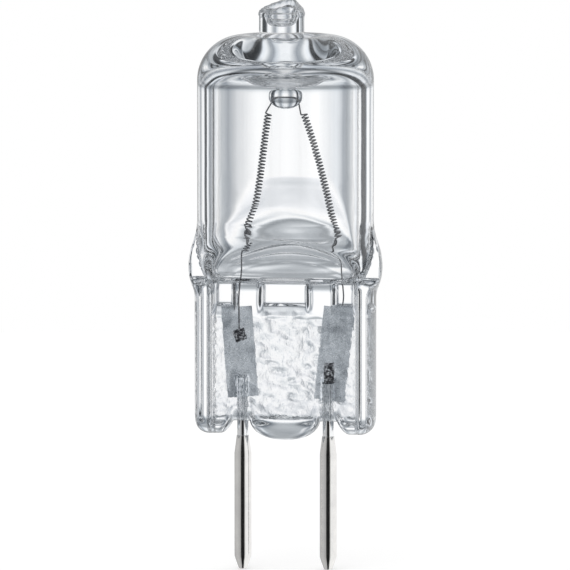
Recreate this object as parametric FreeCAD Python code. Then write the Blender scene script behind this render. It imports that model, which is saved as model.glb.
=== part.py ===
import FreeCAD, Part
import math
import os
from FreeCAD import Vector

# Halogen capsule lamp with two contact pins, in millimetres.
# The origin is midway between the pins, at the plane of their ends.
# +Z runs up the lamp's axis, X lies across the pins, and -Y is the front of the pressed seal.

# Contact pins: turned and plated, each with a socket in its shoulder for the end of its lead rod
pin_spacing = 6.35
pin_diameter = 1.25
pin_length = 8.6
pin_taper_length = 0.95
pin_tip_diameter = 0.62
pin_shoulder_height = 1.35
pin_neck_wall = 0.04
pin_socket_depth = 0.85

# Lead rods: molybdenum wire, each with one end welded in the fold of its foil
rod_diameter = 0.83
rod_on_left_foil = 1.5
rod_on_right_foil = 1.25

# Sealing foils: thin molybdenum strips, pressed over their rods and leaning outwards towards the top.
# "Outwards" is how far the foot of a foil, or a tab, stands off its rod's axis, away from the middle
foil_width = 2.3
foil_thickness = 0.04
left_foil_length = 6.7
right_foil_length = 6.95
left_foil_lean = 4.2
right_foil_lean = 6.3
left_foil_outwards = -0.03
right_foil_outwards = 0.1
foil_below_pinch_top = 1.65
foil_from_middle = 0.2

# Weld tabs: small flags that hold the ends of the filament wire on the foils
left_tab_width = 0.92
left_tab_height = 0.92
left_tab_turn = -20.0
left_tab_above_foil_end = 4.55
left_tab_inwards = 0.08
right_tab_width = 0.78
right_tab_height = 1.52
right_tab_outwards = 0.1
tab_thickness = 0.18
right_tab_gap = 0.03

# Pressed seal of the glass: a thin web between two thicker rails
pinch_above_pins = 0.15
pinch_height = 11.1
pinch_half_width = 6.7
rail_width = 1.25
rail_thickness = 4.6
web_thickness = 2.7
foot_thickness = 3.5
foot_height = 2.2
foot_round = 1.1
corner_radius = 1.15
rail_foot_width = 0.75
side_scallop_rise = 0.95
centre_scallop_drop = 0.45
pin_notch_half_width = 0.66

# Windows: shallow recesses across the top of the web, the outer ones close beside the rails
window_depth = 0.36
window_height = 1.0
window_bevel_height = 0.8
window_bevel_width = 0.36
window_below_pinch_top = 0.4
centre_window_half_width = 1.92
side_window_width = 1.85
side_window_gap = 0.05

# Throat: where the round tube runs down into the pressed seal
throat_height = 4.9
ear_flare = 0.45
ear_height = 1.3
rail_rise = 0.9

# Bulb
bulb_diameter = 13.0
wall = 1.08
barrel_height = 10.2
crown_radius = 3.3
crown_dip = 1.5
neck_radius = 1.15
inner_crown_radius = 1.7
crown_thickness = 2.15
dimple_drop = 1.15
dimple_radius = 2.6
stem_radius = 0.72
stem_length = 0.36
bead_radius = 1.24
bead_half_height = 0.88
cavity_floor_thickness = 0.1
cavity_corner_rise = 1.5
cavity_flat_radius = 1.5

# Curves of the glass are straight runs that turn by about so many degrees from one to the next
glass_facet_turn = 34.0
cavity_facet_turn = 50.0

# Exhaust tip: the stub of the glass tube that the lamp was pumped through
tip_offset = -0.28
tip_radius = 1.67
tip_cone_height = 1.2
tip_height = 2.2
tip_collar = 0.07
tip_collar_height = 0.45
crater_radius = 0.9
crater_depth = 1.3
break_peak = 0.6
break_peak_offset = 0.65
break_left_drop = 0.5
break_right_drop = 1.25
break_lean = 8.0

# Filament: one tungsten wire, wound in two legs with a plain bridge held in the bead
wire_diameter = 0.11
wire_sides = 3
coil_diameter = 0.55
coil_turns = 39
steps_per_turn = 5
coil_top_below_bead = 1.2
left_coil_top_x = -1.25
right_coil_top_x = 1.35
left_coil_top_slope = -0.18
right_coil_top_slope = 0.36
left_coil_foot_x = -2.98
right_coil_foot_x = 3.8
left_coil_foot_slope = -0.36
right_coil_foot_slope = 0.23
left_coil_above_floor = 3.05
right_coil_above_floor = 3.4
bridge_half_width = 0.95
bridge_straight_half = 0.52
bridge_drop = 0.3
left_tail_x = -3.25
left_tail_knee_x = -3.4
left_tail_in_tab = -0.05
left_tail_below_coil = 0.35
right_tail_x = 4.15
right_tail_knee_x = 4.33
right_tail_above_foil_end = 4.6
right_tail_below_coil = 0.5
tail_bend_above_floor = 1.2
tail_bend_back = 0.1

# Heights that follow from the sizes above
shoulder_top = pin_length + pin_shoulder_height
socket_floor = shoulder_top - pin_socket_depth
pinch_end = shoulder_top + pinch_above_pins
pinch_top = pinch_end + pinch_height
throat_top = pinch_top + throat_height
barrel_top = throat_top + barrel_height
crown_top = barrel_top + crown_radius
neck_z = crown_top - crown_dip
bulb_radius = bulb_diameter / 2
cavity_radius = bulb_radius - wall
cavity_floor = pinch_top + cavity_floor_thickness
cavity_top = crown_top - crown_thickness
stem_top = cavity_top - dimple_drop
bead_z = stem_top - stem_length - bead_half_height
rod_radius = rod_diameter / 2
foil_far = foil_from_middle + foil_thickness
foil_top = pinch_top - foil_below_pinch_top
ear_half_width = pinch_half_width + ear_flare
# the flat-sided wire has the section area of the round one
wire_corner = wire_diameter / 2 * math.sqrt(
    2 * math.pi / (wire_sides * math.sin(2 * math.pi / wire_sides))
)
OVER = 1.0
flat_enough = 1e-7


def line(a, b):
    return Part.LineSegment(a, b).toShape()


def bezier(*points):
    curve = Part.BezierCurve()
    curve.setPoles(list(points))
    return curve.toShape()


def arc(a, middle, b):
    return Part.Arc(a, middle, b).toShape()


def rz(radius, z):
    """A point of a turned profile, which lies in the XZ plane."""
    return Vector(radius, 0, z)


def total_turn(edge):
    """How far a curve bends in all, in degrees, an S-bend counted both ways."""
    first, last = edge.ParameterRange
    samples = [edge.tangentAt(first + (last - first) * i / 16) for i in range(17)]
    return sum(math.degrees(a.getAngle(b)) for a, b in zip(samples, samples[1:]))


def chorded(edges, turn=glass_facet_turn):
    """A profile with each curve as short straight runs, so that the faces made from it stay few."""
    runs = []
    for edge in edges:
        steps = max(1, math.ceil(total_turn(edge) / turn - 0.2))
        points = edge.discretize(steps + 1)
        runs += [line(a, b) for a, b in zip(points, points[1:])]
    return runs


def revolved(edges, x=0.0, turn=glass_facet_turn):
    """The solid that a closed profile makes when it turns once round the vertical line at x."""
    face = Part.Face(Part.Wire(chorded(edges, turn)))
    solid = face.revolve(Vector(0, 0, 0), Vector(0, 0, 1), 360)
    solid.translate(Vector(x, 0, 0))
    return solid


def extruded(edges, direction):
    return Part.Face(Part.Wire(chorded(edges))).extrude(direction)


def box(low, high):
    size = high - low
    return Part.makeBox(size.x, size.y, size.z, low)


def mirrored_y(shape):
    return shape.mirror(Vector(0, 0, 0), Vector(0, 1, 0))


# Contact pins and lead rods


def contact_pin(side):
    """A round pin with a tapered end and a conical shoulder, bored there for its lead rod."""
    outer = pin_diameter / 2
    tip = pin_tip_diameter / 2
    neck = rod_radius + pin_neck_wall
    profile = [
        rz(0, 0),
        rz(tip, 0),
        rz(outer, pin_taper_length),
        rz(outer, pin_length),
        rz(neck, shoulder_top),
        rz(rod_radius, shoulder_top),
        rz(rod_radius, socket_floor),
        rz(0, socket_floor),
    ]
    edges = [line(a, b) for a, b in zip(profile, profile[1:] + profile[:1])]
    return revolved(edges, side * pin_spacing / 2)


def lead_rod(side, top):
    """A round rod, cut square, from the socket of its pin to its place on the foil."""
    foot = Vector(side * pin_spacing / 2, 0, socket_floor)
    return Part.makeCylinder(rod_radius, top - socket_floor, foot)


# Foils and weld tabs
# The left foil lies in front of its rod and the right foil behind it, half a turn from each other


def foil_foot(side, outwards, length, lean):
    """The middle of a foil's lower edge; both foils end at the same height at the top."""
    return Vector(
        side * (pin_spacing / 2 + outwards), 0, foil_top - length * math.cos(math.radians(lean))
    )


def foil(side, foot, length, lean, rod, rod_top):
    """A leaning strip with a hollow fold at its foot, pressed over the end of its rod."""
    strip = box(
        Vector(-foil_width / 2, side * foil_from_middle, 0),
        Vector(foil_width / 2, side * foil_from_middle + foil_thickness, length),
    )
    if side < 0:
        strip.translate(Vector(0, -foil_thickness, 0))
    strip.rotate(Vector(0, 0, 0), Vector(0, 1, 0), side * lean)
    strip.translate(foot)
    # the fold starts above the lower corner that the lean has lifted
    low = foot.z + foil_width / 2 * math.sin(math.radians(lean))
    fold = Part.makeCylinder(
        rod_radius + foil_thickness, rod_top + foil_thickness - low,
        Vector(side * pin_spacing / 2, 0, low),
    )
    inner = side * foil_from_middle
    other = -side * rod_diameter
    beyond = box(
        Vector(side * pin_spacing / 2 - rod_diameter, min(inner, other), low - OVER),
        Vector(side * pin_spacing / 2 + rod_diameter, max(inner, other), foil_top),
    )
    return strip.fuse(fold.cut(beyond)).cut(rod)


def foil_x(side, foot, lean, height):
    """Where the middle of a foil lies across the lamp, at a height above the foil's foot."""
    return foot.x + side * height * math.tan(math.radians(lean))


def weld_tab(width, height, turn, x, z, back):
    """A small flag, turned about its own middle, with its back at the given depth."""
    tab = box(
        Vector(-width / 2, back - tab_thickness, -height / 2),
        Vector(width / 2, back, height / 2),
    )
    tab.rotate(Vector(0, 0, 0), Vector(0, 1, 0), turn)
    tab.translate(Vector(x, 0, z))
    return tab


left_foot = foil_foot(-1, left_foil_outwards, left_foil_length, left_foil_lean)
right_foot = foil_foot(1, right_foil_outwards, right_foil_length, right_foil_lean)
left_rod_top = left_foot.z + rod_on_left_foil
right_rod_top = right_foot.z + rod_on_right_foil
left_tab_x = foil_x(-1, left_foot, left_foil_lean, left_tab_above_foil_end) + left_tab_inwards
left_tab_z = left_foot.z + left_tab_above_foil_end
right_tab_x = pin_spacing / 2 + right_tab_outwards
right_tab_z = right_rod_top + right_tab_gap + right_tab_height / 2


# Filament


def on_bezier(p0, p1, p2, p3, t):
    """The point and the direction of a cubic curve at t."""
    s = 1 - t
    point = p0 * s**3 + p1 * (3 * s * s * t) + p2 * (3 * s * t * t) + p3 * t**3
    direction = (p1 - p0) * (s * s) + (p2 - p1) * (2 * s * t) + (p3 - p2) * (t * t)
    return point, direction.normalize()


def leg_curve(top_x, foot_x, above_floor, top_slope, foot_slope):
    """The four points of the curve that the middle of a coiled leg follows, from its foot to its top."""
    top = Vector(top_x, 0, bead_z - coil_top_below_bead)
    foot = Vector(foot_x, 0, cavity_floor + above_floor)
    reach = (top.z - foot.z) / 3
    return [
        foot,
        foot + Vector(-foot_slope * reach, 0, reach),
        top + Vector(top_slope * reach, 0, -reach),
        top,
    ]


def coil_points(curve):
    """The turns of a leg, worked out along its curve from foot to top."""
    radius = (coil_diameter - wire_diameter) / 2
    count = coil_turns * steps_per_turn
    points = []
    for i in range(count + 1):
        middle, along = on_bezier(*curve, i / count)
        across = along.cross(Vector(0, 1, 0)).normalize()
        angle = 2 * math.pi * i / steps_per_turn
        spoke = across * math.cos(angle) + Vector(0, 1, 0) * math.sin(angle)
        points.append(middle + spoke * radius)
    return points


def wire_rings(path, facing):
    """The corners of a wire at each point of its path, carried along so that every face is flat.

    One side of the first run faces back (1) or front (-1), to lie on a foil.
    """
    runs = [(b - a).normalize() for a, b in zip(path, path[1:])]
    first = runs[0]
    across = first.cross(Vector(0, 1, 0)).normalize()
    other = first.cross(across)
    corners = [-facing * math.pi / 2 + (2 * k + 1) * math.pi / wire_sides for k in range(wire_sides)]
    ring = [
        path[0] + (across * math.cos(angle) + other * math.sin(angle)) * wire_corner
        for angle in corners
    ]
    rings = [ring]
    for i in range(1, len(path)):
        before = runs[i - 1]
        after = runs[min(i, len(runs) - 1)]
        normal = (before + after).normalize()
        ring = [c + before * ((path[i] - c).dot(normal) / before.dot(normal)) for c in ring]
        rings.append(ring)
    return rings


def wire_solid(rings):
    """One closed solid through the rings of corners, with triangles where a run is twisted."""
    outlines = [rings[0], rings[-1]]
    for low, high in zip(rings, rings[1:]):
        for k in range(wire_sides):
            n = (k + 1) % wire_sides
            normal = (low[n] - low[k]).cross(high[n] - low[k]).normalize()
            if abs((high[k] - low[k]).dot(normal)) < flat_enough:
                outlines.append([low[k], low[n], high[n], high[k]])
            else:
                outlines.append([low[k], low[n], high[n]])
                outlines.append([low[k], high[n], high[k]])
    faces = [Part.Face(Part.makePolygon(corners + corners[:1])) for corners in outlines]
    shell = Part.Shell(faces)
    shell.sewShape()
    solid = Part.Solid(shell)
    if solid.Volume < 0:
        solid.reverse()
    return solid


# each tail lies flat against its foil, on the side that is away from the rod
wire_flat = wire_corner * math.cos(math.pi / wire_sides)
left_tail_y = -foil_far - wire_flat
right_tail_y = foil_far + wire_flat

left_tail = [
    Vector(left_tab_x + left_tail_in_tab, left_tail_y, left_tab_z - left_tab_height * 0.2),
    Vector(left_tab_x + left_tail_in_tab, left_tail_y, left_tab_z + left_tab_height * 0.7),
    Vector(left_tail_knee_x, left_tail_y, pinch_top - window_height),
    Vector(left_tail_x, tail_bend_back, cavity_floor + tail_bend_above_floor),
    Vector(left_tail_x, 0, cavity_floor + left_coil_above_floor - left_tail_below_coil),
]
right_tail = [
    Vector(
        foil_x(1, right_foot, right_foil_lean, right_tail_above_foil_end), right_tail_y,
        right_foot.z + right_tail_above_foil_end,
    ),
    Vector(right_tail_knee_x, right_tail_y, pinch_top - window_height),
    Vector(right_tail_x, tail_bend_back, cavity_floor + tail_bend_above_floor),
    Vector(right_tail_x, 0, cavity_floor + right_coil_above_floor - right_tail_below_coil),
]


def wire_half(side, tail, leg):
    """The rings of one tail, its coiled leg and its end of the bridge, up to the straight in the bead."""
    bridge = [
        Vector(side * bridge_half_width, 0, bead_z - bridge_drop),
        Vector(side * bridge_straight_half, 0, bead_z),
        Vector(-side * bridge_straight_half, 0, bead_z),
    ]
    return wire_rings(tail + coil_points(leg) + bridge, -side)[:-1]


left_leg = leg_curve(
    left_coil_top_x, left_coil_foot_x, left_coil_above_floor,
    left_coil_top_slope, left_coil_foot_slope,
)
right_leg = leg_curve(
    right_coil_top_x, right_coil_foot_x, right_coil_above_floor,
    right_coil_top_slope, right_coil_foot_slope,
)
left_rings = wire_half(-1, left_tail, left_leg)
# the right half is turned end for end, and starts at the corner that twists the bridge least
right_rings = [ring[::-1] for ring in reversed(wire_half(1, right_tail, right_leg))]
across_bridge = Vector(2 * bridge_straight_half, 0, 0)
start = min(
    range(wire_sides),
    key=lambda k: (left_rings[-1][0] + across_bridge).distanceToPoint(right_rings[0][k]),
)
right_rings = [ring[start:] + ring[:start] for ring in right_rings]


# Glass envelope


def outer_body():
    """The blown outside, as turned: seal width, ears, barrel and crown with its central dip."""
    ear_z = pinch_top + ear_height
    ear_out = ear_half_width
    ear_low = (ear_z - pinch_top) * 0.9
    ear_up = (throat_top - ear_z) * 0.45
    low = pinch_end - centre_scallop_drop - OVER
    crown_start = rz(bulb_radius, barrel_top)
    crown_end = rz(bulb_radius - crown_radius, crown_top)
    half = math.sqrt(0.5) * crown_radius
    crown_middle = rz(bulb_radius - crown_radius + half, barrel_top + half)
    edges = [
        line(rz(0, low), rz(pinch_half_width, low)),
        line(rz(pinch_half_width, low), rz(pinch_half_width, pinch_top - rail_rise)),
        bezier(
            rz(pinch_half_width, pinch_top - rail_rise),
            rz(pinch_half_width, pinch_top - rail_rise * 0.2),
            rz(ear_out, ear_z - ear_low),
            rz(ear_out, ear_z),
        ),
        bezier(
            rz(ear_out, ear_z),
            rz(ear_out, ear_z + ear_up),
            rz(bulb_radius, throat_top - ear_up),
            rz(bulb_radius, throat_top),
        ),
        line(rz(bulb_radius, throat_top), crown_start),
        arc(crown_start, crown_middle, crown_end),
        bezier(
            crown_end,
            rz((bulb_radius - crown_radius) * 0.66, crown_top),
            rz(neck_radius * 1.15, neck_z + crown_dip * 0.65),
            rz(neck_radius, neck_z),
        ),
        line(rz(neck_radius, neck_z), rz(0, neck_z)),
        line(rz(0, neck_z), rz(0, low)),
    ]
    return revolved(edges)


def yz(y, z):
    return Vector(-ear_half_width - OVER, y, z)


def jaw_outside(half_thickness, start, mouth):
    """What a jaw of the press leaves beyond one face, from below the seal up to the barrel.

    The face is flat up to start and then runs out to the barrel's own surface at mouth.
    """
    low = pinch_end - centre_scallop_drop - 2 * OVER
    far = -ear_half_width - 2 * OVER
    rise = mouth - start
    edges = [
        line(yz(-half_thickness, low), yz(-half_thickness, start)),
        bezier(
            yz(-half_thickness, start),
            yz(-half_thickness, start + rise * 0.36),
            yz(-bulb_radius * 0.82, mouth - rise * 0.32),
            yz(-bulb_radius - 0.3, mouth + 0.1),
        ),
        line(yz(-bulb_radius - 0.3, mouth + 0.1), yz(far, mouth + 0.1)),
        line(yz(far, mouth + 0.1), yz(far, low)),
        line(yz(far, low), yz(-half_thickness, low)),
    ]
    return extruded(edges, Vector(2 * (ear_half_width + OVER), 0, 0))


def web_pocket():
    """What the jaw removes between the rails, down to the web, with a thicker foot below it."""
    inner = pinch_half_width - rail_width
    low = pinch_end - centre_scallop_drop - 2 * OVER
    web = -web_thickness / 2
    foot = -foot_thickness / 2
    foot_top = pinch_end + foot_height
    far = -ear_half_width - 2 * OVER
    rise = throat_top - pinch_top
    start = Vector(-inner, 0, 0)

    def at(y, z):
        return start + Vector(0, y, z)

    edges = [
        line(at(foot + foot_round, low), at(foot + foot_round, pinch_end - 0.3)),
        bezier(
            at(foot + foot_round, pinch_end - 0.3),
            at(foot, pinch_end - 0.1),
            at(foot, pinch_end + foot_round * 0.6),
            at(foot, pinch_end + foot_round),
        ),
        bezier(
            at(foot, pinch_end + foot_round),
            at(foot, foot_top - foot_height * 0.2),
            at(web, foot_top - foot_height * 0.2),
            at(web, foot_top + 0.3),
        ),
        line(at(web, foot_top + 0.3), at(web, pinch_top - 0.5)),
        bezier(
            at(web, pinch_top - 0.5),
            at(web, pinch_top + rise * 0.3),
            at(-bulb_radius * 0.8, throat_top - rise * 0.36),
            at(-bulb_radius - 0.3, throat_top),
        ),
        line(at(-bulb_radius - 0.3, throat_top), at(far, throat_top)),
        line(at(far, throat_top), at(far, low)),
        line(at(far, low), at(foot + foot_round, low)),
    ]
    return extruded(edges, Vector(2 * inner, 0, 0))


def window(x_low, x_high):
    """One recess in the web's front face, open at the top, with sloping sides and a sloping sill."""
    face = -web_thickness / 2
    high = pinch_top + window_depth
    floor_low = pinch_top - window_below_pinch_top - window_height
    sill = floor_low - window_bevel_height

    def frame(left, right, low, y):
        return Part.makePolygon([
            Vector(left, y, low),
            Vector(right, y, low),
            Vector(right, y, high),
            Vector(left, y, high),
            Vector(left, y, low),
        ])

    slope = window_bevel_width
    mouth = frame(x_low, x_high, sill, face)
    floor = frame(x_low + slope, x_high - slope, floor_low, face + window_depth)
    recess = Part.makeLoft([mouth, floor], True, True)
    return recess.fuse(Part.Face(mouth).extrude(Vector(0, -OVER, 0)))


def end_outline():
    """Everything below the scalloped end of the seal, as seen from the front and right through it."""
    half = pinch_half_width
    far = half + OVER
    low = pinch_end - centre_scallop_drop - 3 * OVER
    pin_x = pin_spacing / 2
    rail_in = half - corner_radius - rail_foot_width
    side_in = pin_x + pin_notch_half_width
    centre_out = pin_x - pin_notch_half_width
    high = pinch_end + side_scallop_rise
    bottom = pinch_end - centre_scallop_drop
    corner = math.sqrt(0.5) * corner_radius

    def outline(side):
        def at(x, z):
            return Vector(side * x, -rail_thickness, z)

        return [
            line(at(far, low), at(far, pinch_end + corner_radius)),
            line(at(far, pinch_end + corner_radius), at(half, pinch_end + corner_radius)),
            arc(
                at(half, pinch_end + corner_radius),
                at(half - corner_radius + corner, pinch_end + corner_radius - corner),
                at(half - corner_radius, pinch_end),
            ),
            line(at(half - corner_radius, pinch_end), at(rail_in, pinch_end)),
            bezier(
                at(rail_in, pinch_end),
                at(rail_in - 0.35, pinch_end),
                at(side_in + 0.25, high - 0.35),
                at(side_in, high),
            ),
            line(at(side_in, high), at(centre_out, high)),
            bezier(
                at(centre_out, high),
                at(centre_out - 0.05, high - (high - bottom) * 0.6),
                at(centre_out * 0.6, bottom),
                at(0, bottom),
            ),
        ]

    edges = outline(1) + outline(-1)
    edges.append(line(Vector(far, -rail_thickness, low), Vector(-far, -rail_thickness, low)))
    face = Part.Face(Part.Wire(Part.__sortEdges__(chorded(edges))))
    return face.extrude(Vector(0, 2 * rail_thickness, 0))


def cavity():
    """The sealed gas space: a round bore, the dimple and bead at its top, and a flattened foot."""
    corner = rz(cavity_radius, cavity_floor + cavity_corner_rise)
    shoulder_z = cavity_top - inner_crown_radius
    shoulder = rz(cavity_radius, shoulder_z)
    half = math.sqrt(0.5) * inner_crown_radius
    centre_r = cavity_radius - inner_crown_radius
    shoulder_middle = rz(centre_r + half, shoulder_z + half)
    top = rz(centre_r, cavity_top)
    bead_top = stem_top - stem_length
    # the usual share of the radius that makes a cubic curve follow a quarter of an ellipse
    quarter = 0.5523
    edges = [
        line(rz(0, cavity_floor), rz(cavity_flat_radius, cavity_floor)),
        bezier(
            rz(cavity_flat_radius, cavity_floor),
            rz(cavity_radius * 0.8, cavity_floor),
            rz(cavity_radius, cavity_floor + cavity_corner_rise * 0.3),
            corner,
        ),
        line(corner, shoulder),
        arc(shoulder, shoulder_middle, top),
        bezier(
            top,
            rz(dimple_radius, cavity_top),
            rz(dimple_radius, stem_top + 0.1),
            rz(stem_radius + 0.45, stem_top),
        ),
        line(rz(stem_radius + 0.45, stem_top), rz(stem_radius, stem_top - 0.2)),
        line(rz(stem_radius, stem_top - 0.2), rz(stem_radius, bead_top)),
        bezier(
            rz(stem_radius, bead_top),
            rz(bead_radius * 0.95, bead_top - 0.1),
            rz(bead_radius, bead_z + bead_half_height * quarter),
            rz(bead_radius, bead_z),
        ),
        bezier(
            rz(bead_radius, bead_z),
            rz(bead_radius, bead_z - bead_half_height * quarter),
            rz(bead_radius * quarter, bead_z - bead_half_height),
            rz(0, bead_z - bead_half_height),
        ),
        line(rz(0, bead_z - bead_half_height), rz(0, cavity_floor)),
    ]
    space = revolved(edges, turn=cavity_facet_turn)
    rise = throat_top - pinch_top
    far = -bulb_radius - OVER
    foot = [
        line(yz(0, cavity_floor - OVER), yz(0, cavity_floor)),
        bezier(
            yz(0, cavity_floor),
            yz(-wall * 0.6, cavity_floor),
            yz(-wall * 0.7, cavity_floor + rise * 0.12),
            yz(-wall, cavity_floor + rise * 0.22),
        ),
        bezier(
            yz(-wall, cavity_floor + rise * 0.22),
            yz(-wall * 1.9, cavity_floor + rise * 0.55),
            yz(-cavity_radius * 0.92, throat_top - rise * 0.25),
            yz(-cavity_radius - 0.2, throat_top + rise * 0.12),
        ),
        line(yz(-cavity_radius - 0.2, throat_top + rise * 0.12), yz(far, throat_top + rise * 0.12)),
        line(yz(far, throat_top + rise * 0.12), yz(far, cavity_floor - OVER)),
        line(yz(far, cavity_floor - OVER), yz(0, cavity_floor - OVER)),
    ]
    outside = extruded(foot, Vector(2 * (ear_half_width + OVER), 0, 0))
    return space.cut([outside, mirrored_y(outside)])


def exhaust_tip():
    """The tube stub on the crown: a melted cone, a short tube, a collar and a broken, cratered end."""
    cone_top = neck_z + tip_cone_height
    rim = cone_top + tip_height
    high = rim + break_peak + OVER
    edges = [
        line(rz(0, neck_z - 0.5), rz(neck_radius * 0.9, neck_z - 0.5)),
        bezier(
            rz(neck_radius * 0.9, neck_z - 0.5),
            rz(neck_radius * 0.9, neck_z + tip_cone_height * 0.3),
            rz(tip_radius, neck_z + tip_cone_height * 0.6),
            rz(tip_radius, cone_top),
        ),
        line(rz(tip_radius, cone_top), rz(tip_radius, rim - tip_collar_height)),
        line(
            rz(tip_radius, rim - tip_collar_height),
            rz(tip_radius + tip_collar, rim - tip_collar_height / 2),
        ),
        line(rz(tip_radius + tip_collar, rim - tip_collar_height / 2), rz(tip_radius, rim)),
        line(rz(tip_radius, rim), rz(tip_radius * 0.72, high)),
        line(rz(tip_radius * 0.72, high), rz(0, high)),
        line(rz(0, high), rz(0, neck_z - 0.5)),
    ]
    stub = revolved(edges)
    crater = Part.makeCylinder(
        crater_radius, crater_depth + high + OVER - rim, rz(0, rim - crater_depth)
    )
    peak = Vector(break_peak_offset, -2 * tip_radius, rim + break_peak)
    outline = [
        Vector(-2 * tip_radius, -2 * tip_radius, rim - break_left_drop),
        peak,
        Vector(2 * tip_radius, -2 * tip_radius, rim - break_right_drop),
        Vector(2 * tip_radius, -2 * tip_radius, high + 2 * OVER),
        Vector(-2 * tip_radius, -2 * tip_radius, high + 2 * OVER),
    ]
    broken = extruded(
        [line(a, b) for a, b in zip(outline, outline[1:] + outline[:1])],
        Vector(0, 4 * tip_radius, 0),
    )
    broken.rotate(Vector(0, 0, rim), Vector(1, 0, 0), break_lean)
    stub = stub.cut([crater, broken])
    stub.translate(Vector(tip_offset, 0, 0))
    return stub


def glass_envelope(held):
    """The one piece of quartz glass, with an exact seat for everything that is sealed into it."""
    rail_jaw = jaw_outside(rail_thickness / 2, pinch_top + rail_rise * 0.4, throat_top)
    pocket = web_pocket()
    side_end = pinch_half_width - rail_width - side_window_gap
    windows = [
        window(-centre_window_half_width, centre_window_half_width),
        window(side_end - side_window_width, side_end),
        window(-side_end, side_window_width - side_end),
    ]
    front = [rail_jaw, pocket] + windows
    cutters = front + [mirrored_y(c) for c in front]
    cutters.append(end_outline())
    glass = outer_body().cut(cutters)
    glass = glass.fuse(exhaust_tip()).removeSplitter()
    return glass.cut([cavity()] + held)


def save(name, shape):
    solids = shape.Solids
    if len(solids) != 1 or not shape.isValid():
        print(name, "has", len(solids), "solids, valid", shape.isValid())
    solids[0].exportStep("parts/" + name + ".step")
    print(name, "volume %.4f" % solids[0].Volume)


os.makedirs("parts", exist_ok=True)

left_rod = lead_rod(-1, left_rod_top)
right_rod = lead_rod(1, right_rod_top)
left_foil = foil(-1, left_foot, left_foil_length, left_foil_lean, left_rod, left_rod_top)
right_foil = foil(1, right_foot, right_foil_length, right_foil_lean, right_rod, right_rod_top)
filament = wire_solid(left_rings + right_rings)
sealed_wire = [
    wire_solid(left_rings[:len(left_tail)]),
    wire_solid(left_rings[-3:] + right_rings[:3]),
    wire_solid(right_rings[-len(right_tail):]),
]
left_tab = weld_tab(
    left_tab_width, left_tab_height, left_tab_turn, left_tab_x, left_tab_z, -foil_far
).cut(sealed_wire[0])
right_tab = weld_tab(
    right_tab_width, right_tab_height, 0, right_tab_x, right_tab_z, foil_from_middle
)
held = [left_rod, right_rod, left_foil, right_foil, left_tab, right_tab] + sealed_wire

save("filament", filament)
save("left_foil", left_foil)
save("right_foil", right_foil)
save("left_weld_tab", left_tab)
save("right_weld_tab", right_tab)
save("left_lead_rod", left_rod)
save("right_lead_rod", right_rod)
save("left_contact_pin", contact_pin(-1))
save("right_contact_pin", contact_pin(1))
save("glass_envelope", glass_envelope(held))
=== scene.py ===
import math
import bpy
import numpy as np
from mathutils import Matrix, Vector, noise


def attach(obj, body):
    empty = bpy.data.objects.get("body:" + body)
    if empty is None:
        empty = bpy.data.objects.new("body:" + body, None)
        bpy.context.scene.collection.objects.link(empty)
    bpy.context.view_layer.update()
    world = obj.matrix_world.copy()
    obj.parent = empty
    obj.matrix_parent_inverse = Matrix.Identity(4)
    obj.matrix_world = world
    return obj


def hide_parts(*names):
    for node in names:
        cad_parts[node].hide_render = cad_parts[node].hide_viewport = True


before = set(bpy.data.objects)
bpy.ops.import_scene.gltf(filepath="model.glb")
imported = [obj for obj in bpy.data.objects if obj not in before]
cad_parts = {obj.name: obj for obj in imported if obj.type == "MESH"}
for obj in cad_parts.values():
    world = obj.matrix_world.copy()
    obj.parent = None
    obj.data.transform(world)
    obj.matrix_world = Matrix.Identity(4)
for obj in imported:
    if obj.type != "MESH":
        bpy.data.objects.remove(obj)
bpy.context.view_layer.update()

# The camera stands a little to the right of the lamp's front and looks slightly down on it,
# through a long lens that takes in the whole lamp from the broken tip to the pin ends.
view_turn = math.radians(6.5)
view_rise = math.radians(6.0)
view_distance = 0.55
view_width = 0.04203
view_middle = Vector((-0.00004, 0.0, 0.02113))
towards_camera = Vector((
    math.sin(view_turn) * math.cos(view_rise),
    -math.cos(view_turn) * math.cos(view_rise),
    math.sin(view_rise),
))
bpy.ops.object.select_all(action="DESELECT")
bpy.ops.object.camera_add(location=view_middle + towards_camera * view_distance)
camera = bpy.context.object
camera.rotation_euler = towards_camera.to_track_quat("Z", "Y").to_euler()
camera.data.lens = camera.data.sensor_width * view_distance / view_width
camera.data.clip_start = 0.01
bpy.context.scene.camera = camera

# Contact pins: two nickel-plated pins, turned from wire with a tapered end and a conical shoulder.
# A socket in the shoulder holds the end of the lead rod. The plating is bright, nearly smooth.
pin_spacing = 0.00635
pin_radius = 0.000625
pin_edge = 0.00003
round_points = 72
# radius and height, from the tip up, over the shoulder and down the wall of the socket
pin_levels = [
    (0.00025, 0.0),
    (0.00031, 0.00004),
    (0.00053, 0.00066),
    (0.00062, 0.00095),
    (pin_radius, 0.00115),
    (pin_radius, 0.0086),
    (0.000455, 0.00994),
    (0.00042, 0.00995),
    (0.000416, 0.0098),
]


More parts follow.
